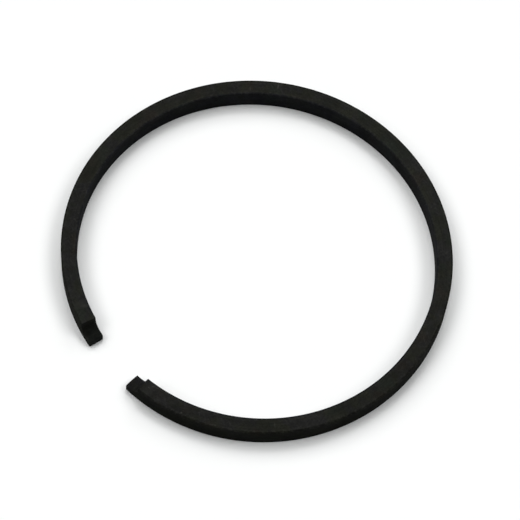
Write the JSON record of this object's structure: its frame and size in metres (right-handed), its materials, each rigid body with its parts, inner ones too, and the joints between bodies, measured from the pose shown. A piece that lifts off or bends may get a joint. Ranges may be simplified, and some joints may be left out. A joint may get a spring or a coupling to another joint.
{
  "type": "piston ring",
  "caption": "Rectangular compression ring for a small two-stroke piston, sprung open at the gap, with a pin notch in the upper flank at both ends.",
  "frame": {"origin": "middle of the free ring's overall box in X and Y, on the plane of the lower flank", "axes": "+Z along the axis of the bore, out of the notched upper flank; the gap faces -Y and the back of the ring is at +Y; X runs across the gap"},
  "size_m": [0.0422, 0.041, 0.0025],
  "materials": {
    "ring_iron": "black phosphated, satin"
  },
  "bodies": {
    "root": {"piston_ring": "ring_iron"}
  },
  "joints": []
}
